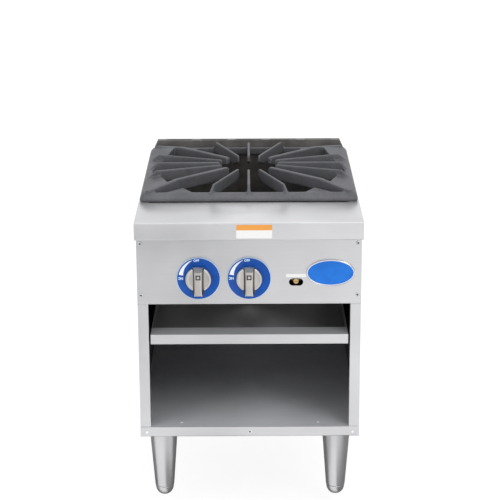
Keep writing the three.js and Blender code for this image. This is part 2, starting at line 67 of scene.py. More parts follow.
# %% [markdown]
# ## Shapes from profiles
# Most pieces of a range are turned on a lathe, drawn as a tube or bent from sheet. All of these are a closed
# loop of points carried from place to place, so one function that covers a grid of loops with faces makes
# them all. A profile is a short list of corners, and each corner can be rounded off.

# %% Loops, lathes and pipes
def unit(vector):
    return np.asarray(vector, float) / np.linalg.norm(vector)


def rounded(profile, steps=4):
    """Rounds a line of corners. A corner is (u, v) or (u, v, cut): there the line leaves its two sides a
    distance cut from the corner and follows the parabola (1-t)^2 start + 2t(1-t) corner + t^2 end."""
    places = [np.array(corner[:2], float) for corner in profile]
    line = []
    for i, corner in enumerate(profile):
        if len(corner) == 2:
            line.append(places[i])
            continue
        start = places[i] + corner[2] * unit(places[i - 1] - places[i])
        end = places[i] + corner[2] * unit(places[(i + 1) % len(places)] - places[i])
        t = np.linspace(0, 1, steps + 1)[:, None]
        line.extend((1 - t) ** 2 * start + 2 * t * (1 - t) * places[i] + t**2 * end)
    return np.array(line)


def skin(loops, ring=False):
    """Faces over a grid of points (loop, point, xyz). Every loop closes on itself. In a ring the last loop
    joins the first; otherwise the two end loops are filled."""
    loops = np.asarray(loops, float)
    count, width = loops.shape[:2]
    index = np.arange(count * width).reshape(count, width)
    index = np.hstack([index, index[:, :1]])
    if ring:
        index = np.vstack([index, index[:1]])
    quads = np.stack([index[:-1, :-1], index[:-1, 1:], index[1:, 1:], index[1:, :-1]], -1)
    faces = quads.reshape(-1, 4).tolist()
    if not ring:
        faces += [list(range(width)), list(range((count - 1) * width, count * width))]
    return loops.reshape(-1, 3), faces


def turned(profile, centre, axis=(0, 0, 1), sides=64, ring=False):
    """A lathe: corners of (radius, distance along the axis), rounded, at every angle around the axis."""
    radius, along = rounded(profile).T[:, :, None, None]
    axis = unit(axis)
    side = unit(np.cross(axis, (0, 0, 1) if abs(axis[2]) < 0.9 else (0, 1, 0)))
    angle = np.linspace(0, 2 * np.pi, sides, endpoint=False)[:, None]
    circle = np.cos(angle) * side + np.sin(angle) * np.cross(axis, side)
    return skin(np.array(centre) + radius * circle + along * axis, ring)


def rod(start, end, radius, sides=32, chamfer=0.0006):
    """A bar between two points with chamfered ends. Six sides make a hexagon."""
    length = np.linalg.norm(np.subtract(end, start))
    profile = [(radius - chamfer, 0), (radius, chamfer)]
    profile += [(radius, length - chamfer), (radius - chamfer, length)]
    return turned(profile, start, np.subtract(end, start), sides)


def run_along(line):
    """The distance along a line from its start to each of its points."""
    return np.concatenate([[0], np.cumsum(np.linalg.norm(np.diff(line, axis=0), axis=1))])


def route(points, steps=10):
    """A Catmull-Rom curve: between two points it is the cubic whose slopes follow each point's neighbours."""
    points = np.array(points, float)
    points = np.vstack([2 * points[0] - points[1], points, 2 * points[-1] - points[-2]])
    t = np.linspace(0, 1, steps, endpoint=False)[:, None]
    spans = [
        0.5 * (2 * b + (c - a) * t + (2 * a - 5 * b + 4 * c - d) * t**2 + (3 * b - a - 3 * c + d) * t**3)
        for a, b, c, d in zip(points, points[1:], points[2:], points[3:])
    ]
    return np.vstack([*spans, points[-2:-1]])


def circles(line, radii, across, sides):
    """Circles square to a line of points. across is a direction that the line never runs along."""
    ahead = np.gradient(line, axis=0)
    ahead /= np.linalg.norm(ahead, axis=1)[:, None]
    side = across - (ahead @ np.array(across, float))[:, None] * ahead
    side /= np.linalg.norm(side, axis=1)[:, None]
    angle = np.linspace(0, 2 * np.pi, sides, endpoint=False)[:, None]
    turn = np.cos(angle) * side[:, None] + np.sin(angle) * np.cross(ahead, side)[:, None]
    return line[:, None] + np.broadcast_to(radii, len(line))[:, None, None] * turn


def pipe(line, radii, across=(1, 0, 0), sides=24, bore=None):
    """A round bar along a line of points, or a pipe where it has a bore."""
    outside = circles(line, radii, across, sides)
    if bore is None:
        return skin(outside)
    return skin(np.concatenate([outside, circles(line, bore, across, sides)[::-1]]), ring=True)


def block(low, high):
    """A box between two corners."""
    (x0, y0, z0), (x1, y1, z1) = low, high
    base = np.array([(x0, y0), (x1, y0), (x1, y1), (x0, y1)])
    return skin([np.column_stack([base, np.full(4, z)]) for z in (z0, z1)])


# %% [markdown]
# ## From shapes to pieces
# A piece joins its shapes in one mesh, with one finish for each. Merging the doubled points closes the poles
# of a lathe shape, and then the normals can be made to face out. Edges sharper than an angle stay crisp and
# the rest is shaded smooth. A piece takes its body from the node that it stands for.

# %% Make a piece
def added(name, data):
    """A new object in the scene."""
    thing = bpy.data.objects.new(name, data)
    bpy.context.scene.collection.objects.link(thing)
    return thing


def settle(thing, node, replaces):
    """Hangs a piece on the body of a node, and hides the nodes that it stands for."""
    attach(thing, body_of[node])
    if replaces:
        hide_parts(*replaces)
    return thing


def eased(thing, width):
    """Rounds every edge sharper than 35 degrees with a narrow bevel."""
    bevel = thing.modifiers.new("eased edges", "BEVEL")
    bevel.width, bevel.segments, bevel.angle_limit = width, 2, math.radians(35)
    return level(thing)


def level(thing):
    """Keeps flat faces flat: each corner takes its normal from the largest face that meets there."""
    thing.modifiers.new("flat faces", "WEIGHTED_NORMAL").weight = 100
    return thing


def piece(name, parts, node, replaces=None, sharp=35):
    """One object from (skin, finish) pairs. It stands for its node, or for the nodes in replaces."""
    points, faces, finish_index, finishes = [], [], [], []
    for (part_points, part_faces), finish in parts:
        if finish not in finishes:
            finishes.append(finish)
        start = sum(len(p) for p in points)
        points.append(part_points)
        faces += [[start + i for i in face] for face in part_faces]
        finish_index += [finishes.index(finish)] * len(part_faces)
    mesh = bpy.data.meshes.new(name)
    mesh.from_pydata(np.concatenate(points).tolist(), [], faces)
    mesh.polygons.foreach_set("material_index", finish_index)
    for finish in finishes:
        mesh.materials.append(finish)
    tidy(mesh)
    mesh.shade_smooth()
    mesh.set_sharp_from_angle(angle=math.radians(sharp))
    return settle(added(name, mesh), node, [node] if replaces is None else replaces)


def tidy(mesh):
    """Merges doubled points and turns all faces outwards."""
    work = bmesh.new()
    work.from_mesh(mesh)
    bmesh.ops.remove_doubles(work, verts=work.verts, dist=1e-6)
    bmesh.ops.recalc_face_normals(work, faces=work.faces)
    work.to_mesh(mesh)
    work.free()


# %% [markdown]
# ## Sheet metal
# Sheet that is cut and bent on a press brake has two kinds of edge. A cut edge is only eased with a file,
# and a bend has a radius of a millimetre or two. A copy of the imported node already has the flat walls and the
# holes, so it is enough to merge it and give each edge a bevel weight: full on a bend, small on a cut.

# %% Copy a sheet metal node
def front_bends(y, low, high):
    """The bends along the top and the bottom of a sheet's front, at a given y."""
    return [{"y": y, "z": high[2]}, {"y": y, "z": low[2]}]


def lies_in(edge, bend, tolerance=2e-5):
    """Whether both ends of an edge lie in all the planes of a bend."""
    spans = (end.co["xyz".index(axis)] - place for axis, place in bend.items() for end in edge.verts)
    return all(abs(span) < tolerance for span in spans)


def formed(node, finish, bends=(), radius=0.0016, cut=0.0003, inside=()):
    """A copy of a node with eased edges. A bend is a dict such as {"y": place, "z": place}: the edges that
    lie in all its planes get the full radius. inside holds pairs of another finish and a test of the face
    centres that it covers."""
    mesh = frame["nodes"][node].data.copy()
    mesh.name = f"formed_{node}"
    work = bmesh.new()
    work.from_mesh(mesh)
    bmesh.ops.remove_doubles(work, verts=work.verts, dist=2e-6)
    bmesh.ops.dissolve_limit(
        work, angle_limit=math.radians(1), verts=work.verts, edges=work.edges, use_dissolve_boundaries=False
    )
    weight = work.edges.layers.float.new("bevel_weight_edge")
    for edge in work.edges:
        if len(edge.link_faces) == 2 and edge.calc_face_angle() > math.radians(35):
            edge[weight] = 1 if any(lies_in(edge, bend) for bend in bends) else cut / radius
    work.to_mesh(mesh)
    work.free()
    mesh.materials.clear()
    mesh.materials.append(finish)
    centres = np.array([face.center for face in mesh.polygons])
    finish_index = np.zeros(len(centres), np.int32)
    for number, (other, chosen) in enumerate(inside, start=1):
        mesh.materials.append(other)
        finish_index[chosen(*centres.T)] = number
    mesh.polygons.foreach_set("material_index", finish_index)
    mesh.shade_smooth()
    thing = added(mesh.name, mesh)
    bevel = thing.modifiers.new("bends and cut edges", "BEVEL")
    bevel.limit_method = "WEIGHT"
    bevel.width, bevel.segments = radius, 3
    bevel.use_clamp_overlap = False
    return settle(level(thing), node, [node])


# %% [markdown]
# ## Writing a finish as arithmetic
# A finish is a small formula over the place on the piece. Wiring Math nodes by hand is slow to read, so this
# class wraps a socket and lets Python's own operators add the nodes.

# %% The socket wrapper
class Wire:
    """A shader socket that arithmetic works on."""

    def __init__(self, tree, socket):
        self.tree, self.socket = tree, socket

    def node(self, kind, settings=None, output=0, **sockets):
        """Adds a node: its settings first, then its sockets, named in lower case or numbered as in_3."""
        made = self.tree.nodes.new("ShaderNode" + kind)
        for key, value in (settings or {}).items():
            if key == "stops":
                while len(made.color_ramp.elements) < len(value):
                    made.color_ramp.elements.new(1)
                for element, (position, shade) in zip(made.color_ramp.elements, value):
                    element.position, element.color = position, (shade, shade, shade, 1)
            else:
                setattr(made, key, value)
        for key, value in sockets.items():
            numbered = key.startswith("in_")
            socket = made.inputs[int(key[3:])] if numbered else made.inputs[key.replace("_", " ").title()]
            if isinstance(value, Wire):
                self.tree.links.new(value.socket, socket)
            else:
                socket.default_value = value
        return Wire(self.tree, made.outputs[output])

    def math(self, operation, *values):
        return self.node("Math", {"operation": operation}, **{f"in_{i}": v for i, v in enumerate(values)})

    def __add__(self, other):
        return self.math("ADD", self, other)

    def __rsub__(self, other):
        return self.math("SUBTRACT", other, self)

    def __mul__(self, other):
        return self.math("MULTIPLY", self, other)

    __radd__ = __add__
    __rmul__ = __mul__

    def stretched(self, scale):
        """The same coordinates, scaled along X, Y and Z."""
        return self.node("Mapping", vector=self, scale=scale)

    def noise(self, scale=1.0, detail=2.0, roughness=0.5):
        """Cloudy noise from 0 to 1 at these coordinates."""
        return self.node("TexNoise", vector=self, scale=scale, detail=detail, roughness=roughness)

    def ramp(self, *stops):
        """A grey ramp through (position, brightness) stops."""
        return self.node("ValToRGB", {"stops": stops}, fac=self)

    def blend(self, color_a, color_b):
        """A colour between two, by this factor."""
        settings = {"data_type": "RGBA"}
        return self.node("Mix", settings, output=2, in_0=self, in_6=(*color_a, 1), in_7=(*color_b, 1))


class Finish:
    """A material with its Principled shader and the place on the piece, in metres."""

    def __init__(self, name, color, roughness, metallic=0.0, **constants):
        self.material = bpy.data.materials.new(name)
        self.material.use_nodes = True
        self.tree = self.material.node_tree
        self.shader = self.tree.nodes["Principled BSDF"]
        place = self.tree.nodes.new("ShaderNodeTexCoord")
        self.place = Wire(self.tree, place.outputs["Object"])
        self.set("Base Color", (*color, 1))
        self.set("Roughness", roughness)
        self.set("Metallic", metallic)
        for key, value in constants.items():
            self.set(key.replace("_", " ").title().replace("Ior", "IOR"), value)

    def set(self, socket, value):
        if isinstance(value, Wire):
            self.tree.links.new(value.socket, self.shader.inputs[socket])
        else:
            self.shader.inputs[socket].default_value = value

    def bump(self, height, strength, distance):
        """Tilts the surface by a height from 0 to 1 that stands for a distance in metres."""
        self.set("Normal", height.node("Bump", strength=strength, distance=distance, height=height))


# %% [markdown]
# ## Brushed stainless steel
# The cabinet's sheet comes from the mill with a brushed finish: thousands of fine parallel scratches. Noise
# that is stretched a hundred times along the brushing gives them. They tilt the surface a little, which
# spreads reflections across the scratches, and broad clouds of noise make hand marks and uneven polish.
# The belt runs from side to side on the front and the ledge, and from front to back on the side panels.
# Anisotropy, turned by a quarter, stretches reflections square to the belt's direction. The shelf and the
# tray's lip are worn duller, and the shelf's top is also painted paler as painted light. The faces inside
# the bay and the tray's well are painted dark as painted shade.

# %% Steel finishes
steel_color = (0.63, 0.63, 0.64)
along_grain, across_grain = 9.0, 1400.0


def brushed(name, grain, color=steel_color, roughness=0.34, metallic=0.86):
    """grain says how quickly the scratches change along X, Y and Z, for each metre."""
    finish = Finish(name, color, roughness, metallic, anisotropic=0.6, anisotropic_rotation=0.25)
    scratches = finish.place.stretched(grain).noise(detail=3, roughness=0.6)
    clouds = finish.place.noise(scale=7, detail=3)
    tone = (0.35 * scratches + 0.65 * clouds).ramp((0.3, 0), (0.7, 1))
    dull = [0.90 * c for c in color]
    bright = [min(1, 1.07 * c) for c in color]
    finish.set("Base Color", tone.blend(dull, bright))
    finish.set("Roughness", roughness - 0.07 + 0.10 * clouds + 0.05 * scratches)
    finish.bump(scratches, strength=0.12, distance=0.0004)
    return finish.material


side_to_side = (along_grain, across_grain, across_grain)
steel_across = brushed("brushed steel, side to side", side_to_side)
steel_back = brushed("brushed steel, front to back", (across_grain, along_grain, across_grain))
steel_up = brushed("brushed steel, up and down", (across_grain, across_grain, along_grain))
# The shelf's top is rougher and less metallic, as worn steel, and painted paler than the rest as painted light.
lit_worn_shelf = brushed("worn shelf steel, painted light", side_to_side, (0.76, 0.77, 0.80), 0.5, 0.4)
tray_steel = brushed("worn tray steel", side_to_side, (0.60, 0.61, 0.63), 0.45, 0.5)
# The faces inside the bay are painted dark as painted shade.
painted_shade_inside = brushed("mill finish inside", (60, 60, along_grain), (0.19, 0.19, 0.195), 0.5)
# The tray's well is painted dark as painted shade under the grate.
painted_shade_well = brushed("tray well, painted shade", (60, along_grain, along_grain), (0.36, 0.36, 0.37), 0.45)
print("steel:", [m.name for m in (steel_across, steel_back, steel_up, lit_worn_shelf, painted_shade_inside)])

# %% [markdown]
# ## The other metals
# The burner box is plain steel that the flame has tinted in clouds. It and the other sheets inside the bay,
# behind the panel and over the legs are painted dark as painted shade. The grate and burners are cast iron:
# the sand of the mould leaves a grain of about a millimetre, and the cast skin is a dull grey, paler in
# clouds. Pipe fittings are black iron, and the valves are brass with turning marks.

# %% Metal finishes
# Clouds of heat tint over a base painted dark as painted shade.
def tinted_shade_finish():
    finish = Finish("heat darkened steel", (0.2, 0.19, 0.18), 0.5, metallic=1)
    clouds = finish.place.noise(scale=9, detail=5, roughness=0.6)
    tint = clouds.ramp((0.35, 0), (0.65, 1))
    finish.set("Base Color", tint.blend((0.13, 0.125, 0.12), (0.30, 0.285, 0.265)))
    finish.set("Roughness", 0.38 + 0.25 * clouds)
    finish.bump(finish.place.noise(scale=500, detail=2), strength=0.15, distance=0.0002)
    return finish.material


def cast_iron(name, pale, dark, roughness):
    """Sand-cast iron between a dark and a pale grey."""
    finish = Finish(name, pale, roughness, metallic=0.25)
    sand = finish.place.noise(scale=650, detail=3, roughness=0.65)
    clouds = finish.place.noise(scale=22, detail=4, roughness=0.6)
    pits = sand.ramp((0.3, 0), (0.52, 1))
    tone = (0.6 * clouds + 0.4 * pits).ramp((0.3, 0), (0.75, 1))
    finish.set("Base Color", tone.blend(dark, pale))
    finish.set("Roughness", roughness + 0.12 * (1 - clouds))
    finish.bump(0.7 * sand + 0.3 * clouds, strength=0.55, distance=0.0007)
    return finish.material


def turned_metal(name, color, roughness, metallic=1.0):
    """A machined metal with fine marks and slightly uneven colour."""
    finish = Finish(name, color, roughness, metallic)
    clouds = finish.place.noise(scale=60, detail=3)
    marks = finish.place.noise(scale=2200, detail=1)
    finish.set("Base Color", clouds.blend([0.85 * c for c in color], [min(1, 1.08 * c) for c in color]))
    finish.set("Roughness", roughness - 0.05 + 0.10 * clouds)
    finish.bump(marks, strength=0.08, distance=0.0001)
    return finish.material


tinted_shade_steel = tinted_shade_finish()
grate_iron = cast_iron("cast iron grate", (0.125, 0.126, 0.136), (0.06, 0.061, 0.067), 0.52)
burner_iron = cast_iron("cast iron burner", (0.12, 0.12, 0.125), (0.055, 0.055, 0.058), 0.6)
black_iron = cast_iron("black iron pipe", (0.045, 0.045, 0.047), (0.022, 0.022, 0.023), 0.5)
brass = turned_metal("brass", (0.62, 0.44, 0.19), 0.32)
tube_metal = turned_metal("drawn aluminium", (0.62, 0.63, 0.64), 0.38)
knob_metal = turned_metal("satin cast metal", (0.64, 0.62, 0.59), 0.32)
# The knob bar's flanks are painted dark as painted shade.
painted_shade_flanks = turned_metal("knob flanks, painted shade", (0.14, 0.13, 0.12), 0.42)
bright_metal = turned_metal("polished steel", (0.7, 0.7, 0.71), 0.2)
# Pale and barely metallic, so that the rivets show as painted highlights.
zinc_and_highlight = turned_metal("zinc plate", (0.86, 0.87, 0.9), 0.35, 0.2)

# %% [markdown]
# ## Enamel, print and paper
# The dial plates are dished and enamelled blue. The enamel is a smooth coat with a little depth of colour.
# The dial marks are printed white, and the two words are a paler blue. The labels are printed film.

# %% Painted finishes
def enamel(name, color, deep):
    """A gloss coat over a colour that is a little deeper in places."""
    finish = Finish(name, color, 0.4, specular_ior_level=0.2, coat_weight=0.25, coat_roughness=0.08)
    clouds = finish.place.noise(scale=38, detail=3)
    finish.set("Base Color", clouds.ramp((0.35, 0), (0.65, 1)).blend(deep, color))
    finish.bump(finish.place.noise(scale=260, detail=1), strength=0.05, distance=0.0003)
    return finish.material


def printed(name, color):
    """Ink or film with a faint mottle."""
    finish = Finish(name, color, 0.55)
    mottle = finish.place.noise(scale=900, detail=2)
    finish.set("Base Color", mottle.blend([0.93 * c for c in color], color))
    finish.bump(mottle, strength=0.04, distance=0.0001)
    return finish.material


blue_enamel = enamel("blue enamel", (0.002, 0.085, 0.42), (0.001, 0.062, 0.34))
badge_enamel = enamel("bright blue enamel", (0.004, 0.17, 0.66), (0.002, 0.135, 0.56))
rim_enamel = enamel("pale rim enamel", (0.55, 0.66, 0.80), (0.45, 0.58, 0.75))
white_print = printed("white print", (0.86, 0.88, 0.92))
pale_print = printed("pale blue print", (0.58, 0.76, 0.98))
label_film = printed("label film", (0.80, 0.80, 0.78))
orange_print = printed("orange print", (0.78, 0.32, 0.05))
# Dark print for the knob's square, and painted shade in the screws' recesses and the lip plug's hole.
dark_ink_and_shade = printed("dark paint", (0.03, 0.03, 0.032))

# %% [markdown]
# ## The cabinet
# The cabinet is folded from 1.2 mm sheet. The bends that show are the front corners of the side panels, the
# top and bottom of the control panel, and the lip of the base shelf.

# %% Cabinet sheets
panel_low, panel_high = corners("control_panel")
shelf_low, shelf_high = corners("base_shelf")
side_low, side_high = corners("side_panel_right")
panel_face = panel_low[1]
sides = (("left", -1), ("right", 1))
sheet = 0.0012
# The inner faces of the side panels are painted dark as painted shade.
shaded_wall_pair = (painted_shade_inside, lambda x, y, z: abs(abs(x) - (side_high[0] - sheet)) < 0.0003)
for side, sign in sides:
    outer, inner = sign * side_high[0], sign * side_low[0]
    bends = [{"x": outer, "y": side_low[1]}, {"x": inner, "y": side_low[1]}, {"x": outer, "z": side_high[2]}]
    formed(f"side_panel_{side}", steel_back, bends, inside=[shaded_wall_pair])
# The shelf's top is painted paler as painted light.
lit_shelf_pair = (lit_worn_shelf, lambda x, y, z: z > shelf_high[2] - 0.0003)
formed("base_shelf", steel_across, front_bends(panel_face, shelf_low, shelf_high), inside=[lit_shelf_pair])
back_face = corners("back_panel")[1][1]
# The back panel's inside is painted dark as painted shade.
formed("back_panel", steel_across, inside=[(painted_shade_inside, lambda x, y, z: y < back_face - sheet / 2)])
formed("control_panel", steel_across, front_bends(panel_face, panel_low, panel_high))
# These sheets take the steel painted dark as painted shade.
for node in ("heat_shield_left", "heat_shield_right", "rear_heat_shield", "firewall"):
    formed(node, tinted_shade_steel, cut=0.0002)
for place in ("front", "middle", "rear"):
    formed(f"burner_support_{place}", black_iron, cut=0.0005)
formed("flue_riser", tinted_shade_steel)
for side, _ in sides:
    formed(f"tray_runner_{side}", tinted_shade_steel)
print("control panel front at", round(panel_face, 4))

# %% [markdown]
# ## The landing ledge
# The ledge is one folded sheet whose front corners are bent to a 3 mm radius, with a plate welded into each
# end and polished flush. Its section is the outside line followed by the inside line, carried from side to
# side. The plates are the filled outside line, stepped in at the outer edge so that the weld looks ground.

# %% The front rail
rail_low, rail_high = corners("front_rail")


def rail_line(inset, bend=0.003):
    """The rail's section in y and z, from the mouth underneath round the front and over to the back."""
    front, back = rail_low[1] + inset, rail_high[1] - inset
    low, high = rail_low[2] + inset, rail_high[2] - inset
    mouth = panel_face + 0.014
    cut = bend - inset
    line = [(mouth, low), (front, low, cut), (front, high, cut), (back, high, cut), (back, rail_low[2])]
    return rounded(line, steps=6)


def placed(loop, x):
    """A loop in y and z, set at an x."""
    return np.column_stack([np.full(len(loop), x), loop])


half = rail_high[0]
section = np.vstack([rail_line(0), rail_line(sheet)[::-1]])
channel = skin([placed(section, x) for x in np.linspace(-half + sheet, half - sheet, 9)])
ends = []
for sign in (-1, 1):
    steps = [(sheet, 0), (0.0004, 0), (0.0001, 0.0001), (0, 0.0004)]
    ends.append(skin([placed(rail_line(inset), sign * (half - depth)) for depth, inset in steps]))
piece("folded_rail", [(shape, steel_across) for shape in (channel, *ends)], "front_rail")

# %% [markdown]
# ## The drip tray
# The tray is a shallow pan. Its front is a folded flange that doubles as the pull, and a flat lip runs back
# from it to the well.

# %% Drip tray
tray_low, tray_high = corners("drip_tray")
tray_bends = front_bends(tray_low[1], tray_low, tray_high)
lip_level, tray_face = tray_high[2] - sheet / 2, tray_low[1] + sheet / 2
# The well is painted dark as painted shade.
shaded_well_pair = (painted_shade_well, lambda x, y, z: (z < lip_level) & (y > tray_face))
tray_lip = (tray_steel, lambda x, y, z: z >= lip_level)
formed("drip_tray", steel_across, tray_bends, radius=0.0013, inside=[shaded_well_pair, tray_lip])

# %% [markdown]
# ## The cast iron grate
# The grate is one casting: a frame with sloping edges, four thick arms that come in from the corners, twelve
# thin ribs and webs that brace the arms. Each rib stands on edge and is drafted, narrower at the top, so that
# it leaves the mould. The shapes are made separately and overlap. A voxel remesh fuses them, and smoothing
# then leaves the small fillets and soft edges of a sand casting.

# %% Grate shapes
grate_low, grate_high = corners("top_grate")
deck, pot_level = grate_low[2], grate_high[2]
grate_centre = (grate_low + grate_high)[:2] / 2
grate_half = (grate_high - grate_low)[:2] / 2
frame_top = deck + 0.017
edge_top = deck + 0.0075
frame_bar = 0.019
well = grate_half - frame_bar
rib_end = 0.062


def rounded_rectangle(half_x, half_y, radius):
    """A loop of x and y with four rounded corners."""
    signs = [(1, 1), (-1, 1), (-1, -1), (1, -1)]
    return rounded([(sx * half_x, sy * half_y, radius) for sx, sy in signs], steps=5)


def frame_ring():
    """The outer frame: loops at the corners of its section, from the outside up, over and down inside."""
    section = [(0, 0, 0.008, deck), (0, 0, 0.008, edge_top), (0.006, 0.0155, 0.006, frame_top)]
    section += [(frame_bar, frame_bar, 0.004, frame_top), (frame_bar, frame_bar, 0.004, deck)]
    loops = []
    for inset_x, inset_y, radius, z in section:
        loop = rounded_rectangle(grate_half[0] - inset_x, grate_half[1] - inset_y, radius)
        loops.append(np.column_stack([loop + grate_centre, np.full(len(loop), z)]))
    return skin(loops, ring=True)


def rib(angle, outer, thickness, ramp, end_top):
    """A rib on edge, at an angle from +X. Its side faces lean in by the draft towards the top."""
    low, draft = pot_level - 0.025, 0.0011
    profile = [(rib_end, pot_level - 0.016), (rib_end + 0.022, low), (outer, low), (outer, end_top)]
    profile += [(outer - ramp, pot_level), (rib_end + 0.003, pot_level), (rib_end, pot_level - 0.004)]
    reach, z = np.array(profile).T
    lean = thickness / 2 - draft * (z - low) / (pot_level - low)
    ahead = np.array([math.cos(angle), math.sin(angle)])
    left = np.array([-ahead[1], ahead[0]])
    faces = [grate_centre + reach[:, None] * ahead + (side * lean)[:, None] * left for side in (-1, 1)]
    return skin([np.column_stack([face, z]) for face in faces])


def web(outline, signs, low, highs):
    """A brace: an outline from the grate's centre, filled from a level up to a height at each corner."""
    flat = np.array(outline) * signs + grate_centre
    return skin([np.column_stack([flat, np.full(len(flat), low)]), np.column_stack([flat, highs])])


def grate_shapes():
    """The frame, then at each corner an arm and two webs, then three ribs on each side, fanned out."""
    shapes = [frame_ring()]
    for signs in ((1, 1), (-1, 1), (-1, -1), (1, -1)):
        angle = math.atan2(signs[1] * grate_half[1], signs[0] * grate_half[0])
        shapes.append(rib(angle, math.hypot(*well) + 0.007, 0.012, 0.085, frame_top + 0.004))
        end_web = [(0.180, well[1] + 0.003), (0.113, well[1] + 0.003), (0.138, well[1] - 0.040)]
        shapes.append(web(end_web, signs, edge_top, [frame_top - 0.001] * 3))
        side_web = [(well[0] + 0.003, well[1] - 0.005), (well[0] + 0.003, 0.040)]
        side_web += [(0.194, 0.050), (0.168, 0.162)]
        tops = [frame_top, frame_top, frame_top + 0.001, pot_level - 0.003]
        shapes.append(web(side_web, signs, edge_top, tops))
    spread = 0.076
    for quarter in range(4):
        reach = well[quarter % 2]
        for offset in (-spread, 0, spread):
            lean = math.atan2(offset, reach)
            outer = (reach + frame_bar / 2) / math.cos(lean)
            shapes.append(rib(quarter * math.pi / 2 + lean, outer, 0.0075, 0.018, frame_top))
    return shapes


# %% Fuse the casting
grate = piece("cast_grate", [(shape, grate_iron) for shape in grate_shapes()], "top_grate")
fuse = grate.modifiers.new("fuse", "REMESH")
fuse.mode, fuse.voxel_size, fuse.use_smooth_shade = "VOXEL", 0.00195, True
soften = grate.modifiers.new("soften", "SMOOTH")
soften.factor, soften.iterations = 0.5, 3
print("grate", len(grate.data.polygons), "faces before it is fused")

# %% [markdown]
# ## The burners
# Each burner is a hollow cast ring on a mixing tube. Gas leaves through two rows of drilled ports in the
# sloping shoulders. The ring is a profile carried round in small steps, and each port is a pit pressed into
# that surface: the depth falls from full to nothing across the edge of the hole.

# %% Burner rings
ring_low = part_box("outer_burner")[0].z
ring_height, shoulder, section_points, port_deep = 0.030, 0.007, 125, 0.003


def port_depth(distance, radius=0.0021, step=0.0005):
    """1 inside a port, 0 outside, with a smooth step of half a millimetre between."""
    t = np.clip((radius + step / 2 - distance) / step, 0, 1)
    return t * t * (3 - 2 * t)


def burner_ring(inner, outer, low, ports, columns):
    """The ring's surface: a rounded section around the burner's centre, pressed in at each port."""
    high, slope = low + ring_height, shoulder
    shoulders = [(outer, high - slope), (outer - slope, high), (inner + slope, high), (inner, high - slope)]
    corners_of_ring = [(inner, low, 0.002), (outer, low, 0.002)] + [(*point, 0.0015) for point in shoulders]
    line = rounded(corners_of_ring)
    line = np.vstack([line, line[:1]])
    length = run_along(line)
    spots = np.linspace(0, length[-1], section_points, endpoint=False)
    section = np.column_stack([np.interp(spots, length, line[:, k]) for k in (0, 1)])
    ahead = np.roll(section, -1, 0) - np.roll(section, 1, 0)
    inward = np.column_stack([-ahead[:, 1], ahead[:, 0]]) / np.linalg.norm(ahead, axis=1)[:, None]
    angle = np.linspace(0, 2 * np.pi, columns, endpoint=False)
    press = 0
    for radius in (outer - slope / 2, inner + slope / 2):
        from_row = np.linalg.norm(section - (radius, high - slope / 2), axis=1)[:, None]
        pitch = 2 * np.pi / ports
        around = radius * (np.mod(angle + pitch / 2, pitch) - pitch / 2)[None, :]
        press = press + port_depth(np.hypot(from_row, around))
    moved = section[:, None, :] + port_deep * press[..., None] * inward[:, None, :]
    radius, z = moved[..., 0], moved[..., 1]
    x = grate_centre[0] + radius * np.cos(angle)
    y = grate_centre[1] + radius * np.sin(angle)
    return skin(np.stack([x, y, z], -1), ring=True)


# %% [markdown]
# A mixing tube starts in a bell mouth behind the gas jet, runs level and then climbs into the underside of
# its ring. It is a pipe whose radius shrinks quickly over the bell.

# %% Mixing tubes
def knob_centre(side):
    """Where a knob's axis meets the control panel's face."""
    return joints[f"{side}_knob_turn"]["pos_m"]


def mixing_tube(side, reach):
    """A pipe from the bell mouth to the ring: the radius falls from the bell's to the tube's over 14 mm."""
    x, _, z = knob_centre(side)
    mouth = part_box(f"air_shutter_{side}")[1].y + 0.0003
    end = grate_centre[1] + reach
    points = [(x, mouth, z), (x, mouth + 0.05, z), (x, end - 0.11, z)]
    points += [(x, end - 0.045, z + 0.022), (x, end, ring_low + 0.006)]
    line = np.vstack([[(x, mouth + d, z) for d in np.linspace(0, 0.045, 12)], route(points)[11:]])
    flare = np.clip(1 - run_along(line) / 0.014, 0, 1) ** 1.6
    return pipe(line, 0.016 + 0.009 * flare, sides=40, bore=0.011 + 0.0115 * flare)


for name, side, radii, reach, ports, columns in (
    ("outer", "left", (0.092, 0.122), -0.029, 52, 760),
    ("inner", "right", (0.030, 0.058), -0.044, 24, 420),
):
    shapes = (burner_ring(*radii, ring_low, ports, columns), mixing_tube(side, reach))
    piece(f"cast_{name}_burner", [(shape, burner_iron) for shape in shapes], f"{name}_burner")
    print(name, "ring, mean radius", round(sum(radii) / 2, 3))

# %% [markdown]
# ## The gas train
# Gas comes in through a black iron pipe from the back and turns into the manifold behind the panel. On the
# manifold sit two brass cocks and the pilot's small valve. Each cock ends in a jet that blows through its air
# shutter into a mixing tube. Pipes here are rods with a bore, and the valves are turned bars and hexagons.

# %% Pipes
manifold_low, manifold_high = corners("manifold_pipe")
supply_low, supply_high = corners("supply_pipe")
pipe_radius = (manifold_high[2] - manifold_low[2]) / 2
pipe_bore = pipe_radius - 0.0029
manifold_y, manifold_z = (manifold_low + manifold_high)[1:] / 2
supply_x = (supply_low[0] + supply_high[0]) / 2
run_x = np.linspace(manifold_low[0], manifold_high[0], 12)[:, None] * (1, 0, 0) + (0, manifold_y, manifold_z)
run_y = np.linspace(supply_low[1], supply_high[1], 12)[:, None] * (0, 1, 0) + (supply_x, 0, manifold_z)
piece("manifold", [(pipe(run_x, pipe_radius, (0, 0, 1), bore=pipe_bore), black_iron)], "manifold_pipe")
piece("supply_run", [(pipe(run_y, pipe_radius, (0, 0, 1), bore=pipe_bore), black_iron)], "supply_pipe")

